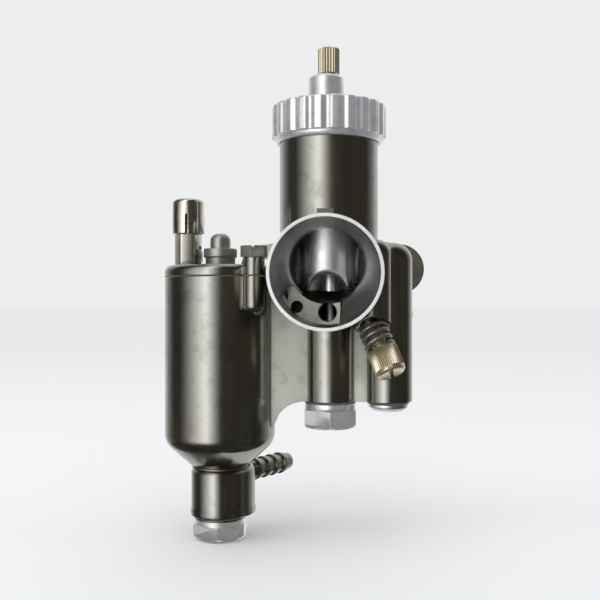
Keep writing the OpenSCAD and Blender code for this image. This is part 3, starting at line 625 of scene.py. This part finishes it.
@dataclass
class ThrottleTop:
    """The chamber cap, its ring nut and the cable adjuster."""

    body: str = "carburetor_body"
    ring_r: float = 19.2
    ring_low: float = 43.0
    ring_high: float = 54.0
    skirt_low: float = 41.3
    inner_r: float = 13.1
    tube_r: float = 16.62
    cap_top: float = 51.5
    flutes: int = 22
    head_r: float = 3.7
    head_low: float = 65.0
    head_high: float = 73.5

    def build(self) -> None:
        """Builds the three pieces."""
        self._ring()
        self._cap()
        self._adjuster()

    def _ring(self) -> None:
        """The fluted ring nut: broad lands with shallow scallops."""
        def scallop(phase: float) -> float:
            """How deep a flute is, in millimetres, at this phase (0 to 1) of its pitch."""
            off = abs(phase - 0.5) * 2
            return 0.75 * math.cos(off / 0.58 * math.pi / 2) if off < 0.58 else 0.0

        band = Shape().edged_band(self.ring_r, self.inner_r, self.flutes, self.ring_low, self.ring_high,
                                  scallop, 14)
        band.soften(1.1, 4, 50.0,
                    lambda e: all(v.co.z > self.ring_high - 0.1 and v.co.xy.length > 17 for v in e.verts))
        band.soften(0.4, 2, 50.0, lambda e: all(v.co.z < self.ring_low + 0.1 for v in e.verts))
        for vert in band.bm.verts:
            if vert.co.z < self.cap_top and vert.co.xy.length < self.inner_r + 0.8 and vert.co.z < 50:
                vert.co.xy = vert.co.xy.normalized() * self.tube_r
                vert.co.z = self.ring_low
        skirt = Shape().lathe([(self.tube_r, self.skirt_low), (17.7, self.skirt_low),
                               (18.4, self.ring_low + 0.4),
                               (self.tube_r, self.ring_low + 0.4)], 96, True).soften(0.3, 2)
        band.add(skirt).move(Axis.CHAMBER.matrix(0))
        band.finish("ring_nut", self.body, "bright_aluminium", ALUMINIUM, ["cap_ring_nut"])

    def _cap(self) -> None:
        """The cap with its turret and the small locking hole."""
        cap = Shape.copy_of("chamber_cap").soften(0.22, 2, 40.0)
        cap.finish("cap", self.body, "bright_aluminium", ALUMINIUM, ["chamber_cap"])

    def _adjuster(self) -> None:
        """The straight-knurled cable adjuster with its thread."""
        head = Shape().edged_band(self.head_r, 2.5, 26, self.head_low, self.head_high,
                                  lambda phase: 0.34 * (1 - abs(phase * 2 - 1)) ** 0.8, 6)
        head.soften(0.28, 2, 55.0)
        stem = Shape().lathe([(1.2, 50.5), (2.2, 50.5), (2.2, self.head_low + 0.3),
                              (2.5, self.head_low + 0.3),
                              (2.5, self.head_low + 2.7), (1.2, self.head_low + 2.7)], 64, True)
        stem.add(Shape().thread(2.5, 0.35, 0.75, 50.8, self.head_low + 0.2))
        head.add(stem).move(Axis.CHAMBER.matrix(3))
        head.finish("cable_adjuster_head", "adjuster", "pale_brass", PALE_BRASS, ["cable_adjuster"])


@dataclass
class Throttle:
    """The slide with its arch, and the spring above it."""

    arch_r: float = 6.4
    arch_z: float = -9.2
    slide_r: float = 10.2
    arch_bevel: float = 1.6
    clearance: float = 0.995

    def build(self) -> None:
        """Builds the slide and its spring."""
        shape = Shape.copy_of("throttle_slide")
        shape.soften(self.arch_bevel, 3, 40.0, self._on_arch_front)
        shape.soften(0.2, 2, 45.0, lambda e: not self._on_arch_front(e, 2.4))
        axis = Axis.CHAMBER.matrix()
        shape.move(axis @ Matrix.Diagonal((self.clearance, self.clearance, 1.0, 1.0)) @ axis.inverted())
        shape.finish("slide", "throttle", "steel", STEEL, ["throttle_slide"])
        spring = Shape().coil(6.4, 0.55, 5.1, 48.9, 9.0, 36, 10)
        spring.move(Axis.CHAMBER.matrix())
        made = spring.finish("slide_return_spring", "carburetor_body", "spring_steel", SPRING,
                             ["slide_spring"])
        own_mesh(made)

    def _on_arch_front(self, edge: bmesh.types.BMEdge, slack: float = 0.12) -> bool:
        """True for an edge where the arch breaks through the front of the slide."""
        middle = (edge.verts[0].co + edge.verts[1].co) / 2
        on_arch = near(math.hypot(middle.x, middle.z - self.arch_z), self.arch_r, slack)
        v = middle.y + 35.0
        on_wall = near(math.hypot(middle.x, v), self.slide_r, slack)
        return on_arch and on_wall and v < 0


@dataclass
class Jets:
    """The spray tube, the two wells' plugs and their washers."""

    body: str = "carburetor_body"

    def build(self) -> None:
        """Builds the spray tube, plugs and washers."""
        tube = Shape().lathe([(1.4, -30), (1.4, -3.0), (1.75, -2.5), (3.1, -2.5), (3.1, -30), (4.4, -30),
                              (4.4, -34), (2.45, -34), (2.45, -30)], 64, True).soften(0.25, 3, 40)
        tube.move(Axis.WELL.matrix()).finish("spray_tube", self.body, "yellow_brass", STEEL, ["needle_jet"])
        plug = Shape.copy_of("jet_well_plug")
        plug.finish("main_well_plug", self.body, "bright_aluminium", ALUMINIUM, ["jet_well_plug"],
                    smooth=24.0)
        washer = Shape().lathe([(6.2, -46.1), (8.6, -46.1), (8.6, -45.3), (6.2, -45.3)], 96,
                               True).soften(0.15, 2)
        washer.move(Axis.WELL.matrix()).finish("main_well_washer", self.body, "gasket_fibre", FIBRE,
                                               ["jet_well_washer"])
        small = Shape.copy_of("idle_well_plug").soften(0.25, 2, 30.0)
        small.finish("slow_well_plug", self.body, "steel", STEEL, ["idle_well_plug"])
        ring = Shape().lathe([(4.6, -46.1), (7.1, -46.1), (7.1, -45.3), (4.6, -45.3)], 72,
                             True).soften(0.25, 3)
        ring.move(Axis.IDLE.matrix()).finish("slow_well_washer", self.body, "gasket_fibre", FIBRE,
                                             ["idle_well_washer"])


@dataclass
class StopScrew:
    """The throttle stop screw and its spring, on the leaning axis."""

    tip: tuple[float, float, float] = (8.6, -40.8, -6.2)
    lean: float = 32.3
    heading: float = -48.3
    seat: float = 15.2
    spring_l: float = 9.9
    slot_turn: float = 44.0
    head_r: float = 5.0
    head_h: float = 8.5

    def matrix(self) -> Matrix:
        """Placement of the screw's own axis in the row frame."""
        return (Matrix.Translation(self.tip) @ Matrix.Rotation(math.radians(self.heading), 4, "Z")
                @ Matrix.Rotation(math.radians(180 - self.lean), 4, "Y"))

    def build(self) -> None:
        """Builds the knurled screw and its spring."""
        start = self.seat + self.spring_l
        end = start + self.head_h
        head = Shape().edged_band(self.head_r, 2.2, 44, start, end - 1.6,
                                  lambda phase: 0.3 * (1 - abs(phase * 2 - 1)) ** 0.8, 6)
        head.soften(0.3, 2, 55.0)
        stem = Shape().lathe([(0, 0), (1.0, 0), (1.3, 0.4), (1.3, 4), (2.05, 4.2), (2.05, start + 0.5),
                              (2.3, start + 0.5),
                              (2.3, end - 1.7), (0, end - 1.7)], 48).soften(0.1, 1)
        stem.add(Shape().thread(2.4, 0.4, 0.8, 4.4, start + 0.3))
        head.add(stem)
        for side in (-1, 1):
            half = Shape().lathe([(0, end - 1.8), (self.head_r - 0.36, end - 1.8),
                                  (self.head_r - 0.3, end - 0.6),
                                  (self.head_r - 0.9, end), (0, end)], 72)
            geom = list(half.bm.verts) + list(half.bm.edges) + list(half.bm.faces)
            cut = bmesh.ops.bisect_plane(half.bm, geom=geom, plane_co=(0, 0.6 * side, 0),
                                         plane_no=(0, side, 0),
                                         clear_inner=True)
            rim = [g for g in cut["geom_cut"] if isinstance(g, bmesh.types.BMEdge)]
            bmesh.ops.contextual_create(half.bm, geom=rim)
            half.clean().soften(0.2, 2, 45.0).move(Matrix.Rotation(math.radians(self.slot_turn), 4, "Z"))
            head.add(half)
        # Painted shade: the tip, below 5 mm along the screw, takes the near-black finish to stand for the
        # shadow it lies in.
        for face in head.bm.faces:
            face.material_index = int(face.calc_center_median().z < 5.0)
        head.move(self.matrix())
        head.finish("stop_screw_piece", "stop_screw", "pale_brass", [PALE_BRASS, PAINTED_SHADE],
                    ["throttle_stop_screw"])
        spring = Shape().coil(4.1, 0.8, self.seat + 0.05, start - 0.05, 3.5, 48, 14).move(self.matrix())
        spring.finish("stop_spring", "carburetor_body", "spring_steel", SPRING, ["stop_screw_spring"])


@dataclass
class AirScrew:
    """The idle air screw and its spring, behind the idle well."""

    z: float = -16.6
    heading: float = 64.0
    seat: float = 9.2
    spring_l: float = 3.3
    head_r: float = 3.2
    head_t: float = 3.0

    def matrix(self) -> Matrix:
        """Placement of the screw's own axis in the row frame."""
        return (Matrix.Translation((20.0, -35.0, self.z)) @ Matrix.Rotation(math.radians(self.heading), 4,
                                                                            "Z")
                @ Matrix.Rotation(math.radians(90), 4, "Y"))

    def build(self) -> None:
        """Builds the screw and its spring."""
        start = self.seat + self.spring_l
        end = start + self.head_t
        head = Shape().edged_band(self.head_r, 1.5, 20, start, end - 0.9,
                                  lambda phase: 0.26 * (1 - abs(phase * 2 - 1)), 6).soften(0.2, 2, 55.0)
        head.add(Shape().lathe([(0, 1.5), (0.5, 1.5), (1.7, 4.5), (1.7, end - 0.95), (0, end - 0.95)], 40))
        head.add(Shape().thread(1.8, 0.25, 0.6, 5.0, start + 0.2, 30))
        for side in (-1, 1):
            half = Shape().lathe([(0, end - 1.0), (self.head_r - 0.3, end - 1.0),
                                  (self.head_r - 0.3, end - 0.3),
                                  (self.head_r - 0.6, end), (0, end)], 56)
            geom = list(half.bm.verts) + list(half.bm.edges) + list(half.bm.faces)
            cut = bmesh.ops.bisect_plane(half.bm, geom=geom, plane_co=(0, 0.4 * side, 0),
                                         plane_no=(0, side, 0),
                                         clear_inner=True)
            rim = [g for g in cut["geom_cut"] if isinstance(g, bmesh.types.BMEdge)]
            bmesh.ops.contextual_create(half.bm, geom=rim)
            head.add(half.clean())
        head.move(self.matrix())
        head.finish("air_screw_piece", "idle_air_screw", "pale_brass", PALE_BRASS, ["air_screw"])
        spring = Shape().coil(2.55, 0.35, self.seat + 0.05, start - 0.05, 3.0, 32, 8).move(self.matrix())
        spring.finish("air_spring", "carburetor_body", "spring_steel", SPRING, ["air_screw_spring"])


@dataclass
class Lid:
    """The bowl lid with its gasket, screws, guide cap and tickler."""

    body: str = "carburetor_body"
    top: float = 0.3

    def build(self) -> None:
        """Builds everything on top of the bowl."""
        Shape.copy_of("bowl_lid").soften(0.3, 3, 25.0).finish(
            "lid", self.body, "dark_casting", GUNMETAL, ["bowl_lid"])
        Shape.copy_of("lid_gasket").finish("lid_seal", self.body, "gasket_fibre", FIBRE, ["lid_gasket"])
        Shape.copy_of("lid_screws").soften(0.35, 3, 35.0).finish(
            "lid_bolts", self.body, "old_zinc", ZINC, ["lid_screws"])
        self._guide_cap()
        self._tickler()

    def _guide_cap(self) -> None:
        """The domed cap over the float needle, with its collar."""
        t = self.top
        dome = [(3.45 - 2.6 + 2.6 * math.cos(a * TURN / 48), t + 10.95 - 2.6 + 2.6 * math.sin(a * TURN / 48))
                for a in range(13)]
        profile = [(0.95, t - 3.3), (3.2, t - 3.3), (3.2, t), (5.05, t), (5.05, t + 2.75), (5.65, t + 2.75),
                   (5.65, t + 5.75), (3.45, t + 5.75)] + dome[:-1] + [(0, t + 10.95)]
        inside = [(0, t + 9.2), (0.95, t + 9.2)]
        shape = Shape().lathe([*profile], 80)
        shape.add(Shape().lathe([(0.95, t - 3.3), *reversed(inside)], 40))
        shape.clean().soften(0.4, 3, 40.0).move(Axis.BOWL.matrix())
        shape.finish("guide_cap", self.body, "old_zinc", ZINC, ["needle_guide_cap"])

    def _tickler(self) -> None:
        """The tickler's hexagonal post, its split button and the spring between."""
        Shape.copy_of("tickler_post").soften(0.3, 3, 30.0).finish(
            "tickler_pillar", self.body, "chrome", CHROME, ["tickler_post"])
        Shape.copy_of("tickler_button").soften(0.22, 2, 45.0).finish(
            "tickler_cap", "tickler", "chrome", CHROME, ["tickler_button"])
        spring = Shape().coil(2.2, 0.3, 13.05, 21.35, 5.0, 28, 8).move(Axis.TICKLER.matrix())
        made = spring.finish("tickler_coil", self.body, "spring_steel", SPRING, ["tickler_spring"])
        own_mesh(made)


@dataclass
class FuelInlet:
    """The banjo union with its barbed nozzle, washers and bolt."""

    body: str = "carburetor_body"
    ring_r: float = 10.1
    top: float = -68.3
    bottom: float = -84.6
    nozzle_z: float = -72.0
    nozzle_turn: float = 35.0
    reach: float = 35.5
    barbs: int = 4
    swell: float = 3.0

    def build(self) -> None:
        """Builds the union, both washers and the bolt."""
        r, top, low = self.ring_r, self.top, self.bottom
        ring = Shape().lathe([(5.1, low), (r - 0.7, low), (r, low + 0.5), (r, low + 2.4),
                              (r - 0.25, low + 2.8), (r - 0.25, top - 1.2),
                              (r - 1.1, top), (5.1, top), (5.1, top - 2.5), (7.3, top - 2.5), (7.3, low + 4),
                              (5.1, low + 4)], 96, True).soften(0.25, 3, 30).move(Axis.BOWL.matrix())
        away = math.radians(90 - self.nozzle_turn)
        swell = Shape().lathe([(5.4, low), (r - 0.7, low), (r, low + 0.5), (r, low + 2.4),
                               (r - 0.25, low + 2.8),
                               (r - 0.25, top - 1.2), (r - 1.1, top), (8.2, top), (8.2, low + 4),
                               (5.4, low + 4)], 96, True)
        swell.soften(0.25, 3, 30).move(Axis.BOWL.matrix())
        swell.move(Matrix.Translation((self.swell * math.cos(away), self.swell * math.sin(away), 0)))
        ring.add(swell)
        ring.add(self._nozzle())
        ring.finish("union", self.body, "dark_casting", GUNMETAL, ["banjo_union"])
        for name, high, outer in (("union_washer_top", -67.5, 9.6), ("union_washer_low", low, 8.9)):
            profile = [(5.1, high - 0.8), (outer, high - 0.8), (outer, high), (5.1, high)]
            washer = Shape().lathe(profile, 80, True).soften(0.25, 3).move(Axis.BOWL.matrix())
            stands = ["banjo_washers"] if high > -70 else []
            washer.finish(name, self.body, "copper", COPPER, stands)
        bolt = Shape.copy_of("banjo_bolt")
        bolt.finish("union_bolt", self.body, "bright_aluminium", ALUMINIUM, ["banjo_bolt"], smooth=24.0)

    def _nozzle(self) -> Shape:
        """The hose nozzle with its barbs and bore."""
        start, pitch = self.reach - 19.0, 18.0 / self.barbs
        profile = [(1.9, 6.5), (3.1, 6.5), (3.1, start)]
        for i in range(self.barbs):
            at = start + i * pitch
            profile += [(3.75, at), (3.9, at + 0.25), (3.9, at + 0.55), (3.05, at + pitch)]
        profile += [(3.0, self.reach), (1.9, self.reach)]
        made = Shape().lathe(profile, 64, True).soften(0.12, 2, 35)
        x, y = Axis.BOWL.value
        made.move(Matrix.Translation((x, y,
                                      self.nozzle_z)) @ Matrix.Rotation(math.radians(90 - self.nozzle_turn),
                                                                        4, "Z")
                  @ Matrix.Rotation(math.radians(90), 4, "Y"))
        return made


@dataclass
class InnerPieces:
    """The pieces that the casting hides, which keep their CAD meshes."""

    def dress(self, frame: dict) -> None:
        """Gives each CAD node that still shows the finish of its slot.
        """
        slots = {s["node"]: s["material_slot"] for s in frame["record"]["subparts"]}
        for name, node in frame["nodes"].items():
            if node.hide_render:
                continue
            finish = SLOT_FINISH[slots[name]]
            node.data.materials.clear()
            node.data.materials.append(finish.material())
            LOG.info("%s keeps its CAD mesh, dressed as %s", name, finish.name)


# ------------------------------------------------------------------ studio


@dataclass
class Studio:
    """The floor, the light and the camera."""

    floor_z: float = -0.0924
    camera_at: tuple[float, float, float] = (0.00987, -0.30627, -0.01075)
    camera_turn: float = 4.0
    lens: float = 48.0
    shift: Point = (-0.0033, -0.0033)
    room_r: float = 1.3
    room_spread: float = 262.0
    room_glow: float = 2.5
    room_dark: Colour = (0.012, 0.016, 0.019)
    room_warm: Colour = (0.036, 0.028, 0.022)
    window_heading: float = -20.0
    window_left: float = 60.0
    window_right: float = 30.0
    window_falloff: float = 1.6
    window_foot: float = -0.72
    window_sill: float = -0.45
    back_from: float = 100.0
    back_to: float = 130.0
    back_glow: float = 0.2
    lights: list[tuple] = field(default_factory=lambda: [
        ("left_softbox", (-0.85, -0.30, 0.30), (0.35, 0.8), 1.3, (1.0, 0.98, 0.95)),
        ("right_softbox", (0.85, -0.10, 0.20), (0.25, 0.8), 0.7, (0.92, 0.97, 1.0)),
        ("top_softbox", (-0.1, -0.35, 0.85), (0.6, 0.4), 0.9, (1.0, 1.0, 1.0)),
    ])

    def build(self) -> None:
        """Builds the floor, the room, the lights, the world and the camera."""
        self._floor()
        self._room()
        for name, at, size, power, colour in self.lights:
            self._area(name, Vector(at), size, power, colour)
        world = bpy.data.worlds.new("pale_room")
        world.use_nodes = True
        world.node_tree.nodes["Background"].inputs[0].default_value = (0.94, 0.945, 0.95, 1)
        world.node_tree.nodes["Background"].inputs[1].default_value = 0.9
        bpy.context.scene.world = world
        self._camera()
        bpy.context.scene.view_settings.view_transform = "Standard"

    def _floor(self) -> None:
        """A plain pale floor under the lowest point."""
        bm = bmesh.new()
        bmesh.ops.create_grid(bm, x_segments=1, y_segments=1, size=6.0,
                              matrix=Matrix.Translation((0, 0, self.floor_z)))
        mesh = bpy.data.meshes.new("floor")
        bm.to_mesh(mesh)
        bm.free()
        material = bpy.data.materials.new("white_paper")
        nodes = Nodes(material)
        coords = nodes.add("ShaderNodeTexCoord").outputs["Object"]
        colour = nodes.mix(nodes.noise(coords, 30.0, 4.0), (0.93, 0.94, 0.95), (0.95, 0.955, 0.96))
        surface = nodes.add("ShaderNodeBsdfPrincipled", Roughness=0.8)
        nodes.link(colour, surface.inputs["Base Color"])
        nodes.link(surface.outputs["BSDF"], nodes.add("ShaderNodeOutputMaterial").inputs["Surface"])
        mesh.materials.append(material)
        floor = bpy.data.objects.new("floor", mesh)
        floor.visible_glossy = False
        bpy.context.scene.collection.objects.link(floor)

    def _room(self) -> None:
        """A dark room around the camera, seen only in reflections, which gives the metal its contrast."""
        material = bpy.data.materials.new("dim_room")
        nodes = Nodes(material)
        coords = nodes.add("ShaderNodeTexCoord").outputs["Object"]
        parts = nodes.add("ShaderNodeSeparateXYZ")
        nodes.link(coords, parts.inputs[0])
        around = nodes.maths("ARCTAN2", parts.outputs["X"], nodes.maths("MULTIPLY", parts.outputs["Y"], -1.0))
        heading = nodes.maths("DEGREES", around, 0.0)
        left = nodes.ramp(heading, self.window_heading - self.window_left, self.window_heading)
        right = nodes.ramp(heading, self.window_heading + self.window_right, self.window_heading)
        window = nodes.maths("POWER", nodes.maths("MULTIPLY", left, right), self.window_falloff)
        aside = nodes.maths("ABSOLUTE", heading, 0.0)
        back = nodes.ramp(aside, self.back_from, self.back_to, 0.0, self.back_glow)
        fade = nodes.ramp(parts.outputs["Z"], self.window_foot, self.window_sill)
        shown = nodes.maths("MULTIPLY", nodes.maths("ADD", window, back), fade)
        patches = nodes.ramp(nodes.noise(coords, 2.2, 2.0), 0.38, 0.62)
        both = nodes.add("ShaderNodeVectorMath", operation="ADD")
        nodes.link(nodes.mix(patches, self.room_dark, self.room_warm), both.inputs[0])
        nodes.link(shown, both.inputs[1])
        glow = nodes.add("ShaderNodeEmission", Strength=self.room_glow)
        nodes.link(both.outputs[0], glow.inputs["Color"])
        nodes.link(glow.outputs["Emission"], nodes.add("ShaderNodeOutputMaterial").inputs["Surface"])
        bm = bmesh.new()
        base = bmesh.ops.create_vert(bm, co=(0, -self.room_r, -0.75))["vert"][0]
        top = bmesh.ops.create_vert(bm, co=(0, -self.room_r, 1.1))["vert"][0]
        roof = bmesh.ops.create_vert(bm, co=(0, -0.35, 1.3))["vert"][0]
        foot = bmesh.ops.create_vert(bm, co=(0, -0.05, -0.9))["vert"][0]
        edges = [bm.edges.new((foot, base)), bm.edges.new((base, top)), bm.edges.new((top, roof))]
        spread = math.radians(self.room_spread)
        bmesh.ops.rotate(bm, verts=bm.verts, cent=(0, 0, 0), matrix=Matrix.Rotation(-spread / 2, 3, "Z"))
        bmesh.ops.spin(bm, geom=[foot, base, top, roof, *edges], cent=(0, 0, 0), axis=(0, 0, 1),
                       angle=spread, steps=24)
        mesh = bpy.data.meshes.new("room")
        bm.to_mesh(mesh)
        bm.free()
        mesh.materials.append(material)
        room = bpy.data.objects.new("room", mesh)
        bpy.context.scene.collection.objects.link(room)
        for ray in ("visible_camera", "visible_diffuse", "visible_shadow", "visible_transmission"):
            setattr(room, ray, False)

    def _area(self, name: str, at: Vector, size: Point, power: float, colour: Colour) -> None:
        """One soft area light aimed at the object's middle."""
        data = bpy.data.lights.new(name, "AREA")
        data.shape = "RECTANGLE"
        data.size, data.size_y = size
        data.energy = power
        data.color = colour
        made = bpy.data.objects.new(name, data)
        aim = Vector((-0.01, -0.035, -0.01)) - at
        made.matrix_world = Matrix.Translation(at) @ aim.to_track_quat("-Z", "Y").to_matrix().to_4x4()
        made.visible_camera = False
        made.visible_glossy = False
        bpy.context.scene.collection.objects.link(made)

    def _camera(self) -> None:
        """The camera in front of the intake bell."""
        data = bpy.data.cameras.new("camera")
        data.lens = self.lens
        data.sensor_width = 36.0
        data.shift_x, data.shift_y = self.shift
        made = bpy.data.objects.new("camera", data)
        made.location = self.camera_at
        made.rotation_euler = (math.pi / 2, 0.0, math.radians(self.camera_turn))
        bpy.context.scene.collection.objects.link(made)
        bpy.context.scene.camera = made


def main() -> None:
    """Loads the CAD frame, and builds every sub-assembly."""
    logging.basicConfig(level=logging.INFO, format="%(name)s: %(message)s")
    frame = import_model()
    for assembly in (Casting(), ThrottleTop(), Throttle(), Jets(), StopScrew(), AirScrew(), Lid(),
                     FuelInlet()):
        assembly.build()
    InnerPieces().dress(frame)
    Studio().build()


if __name__ == "__main__":
    main()
